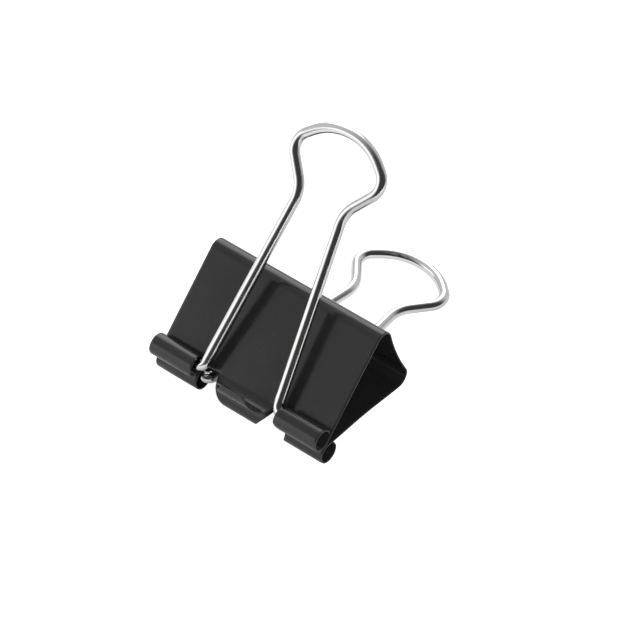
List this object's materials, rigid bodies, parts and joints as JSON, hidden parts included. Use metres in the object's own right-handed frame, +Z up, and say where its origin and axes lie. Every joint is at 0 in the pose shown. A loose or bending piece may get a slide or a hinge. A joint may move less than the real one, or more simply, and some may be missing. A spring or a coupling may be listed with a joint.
{
  "type": "binder clip",
  "caption": "Binder clip with a black spring-steel body, rolled sleeves and swinging wire handles that lever its jaws apart.",
  "frame": {"origin": "centre of the bounding box, on the surface that the clip lies on", "axes": "+Z up; +X along the mouth; +Y from the mouth to the spine, which is the way the folded handles point"},
  "size_m": [0.032, 0.046, 0.0398],
  "materials": {
    "black_paint": "smooth satin-gloss black enamel on spring steel",
    "bright_wire": "bright nickel-plated spring wire"
  },
  "bodies": {
    "spine": {"spring_spine": "black_paint"},
    "front_jaw": {"front_jaw": "black_paint"},
    "rear_jaw": {"rear_jaw": "black_paint"},
    "front_handle": {"front_handle": "bright_wire"},
    "rear_handle": {"rear_handle": "bright_wire"}
  },
  "joints": [
    {"name": "front_jaw_flex", "type": "hinge", "parent": "spine", "child": "front_jaw", "pos_m": [0, -0.00575, 0.01621], "axis": [-1, 0, 0], "range_deg": [0, 22], "stiffness_Nm_per_rad": 0.6, "springref_deg": -0.46},
    {"name": "rear_jaw_flex", "type": "hinge", "parent": "spine", "child": "rear_jaw", "pos_m": [0, -0.00149, 0.00554], "axis": [1, 0, 0], "range_deg": [0, 22], "stiffness_Nm_per_rad": 0.6, "springref_deg": -0.46},
    {"name": "front_handle_swing", "type": "hinge", "parent": "front_jaw", "child": "front_handle", "pos_m": [0, -0.02105, 0.00601], "axis": [1, 0, 0], "range_deg": [-7.5, 150]},
    {"name": "rear_handle_swing", "type": "hinge", "parent": "rear_jaw", "child": "rear_handle", "pos_m": [0, -0.01961, 0.00239], "axis": [-1, 0, 0], "range_deg": [-1.2, 155.8]}
  ]
}
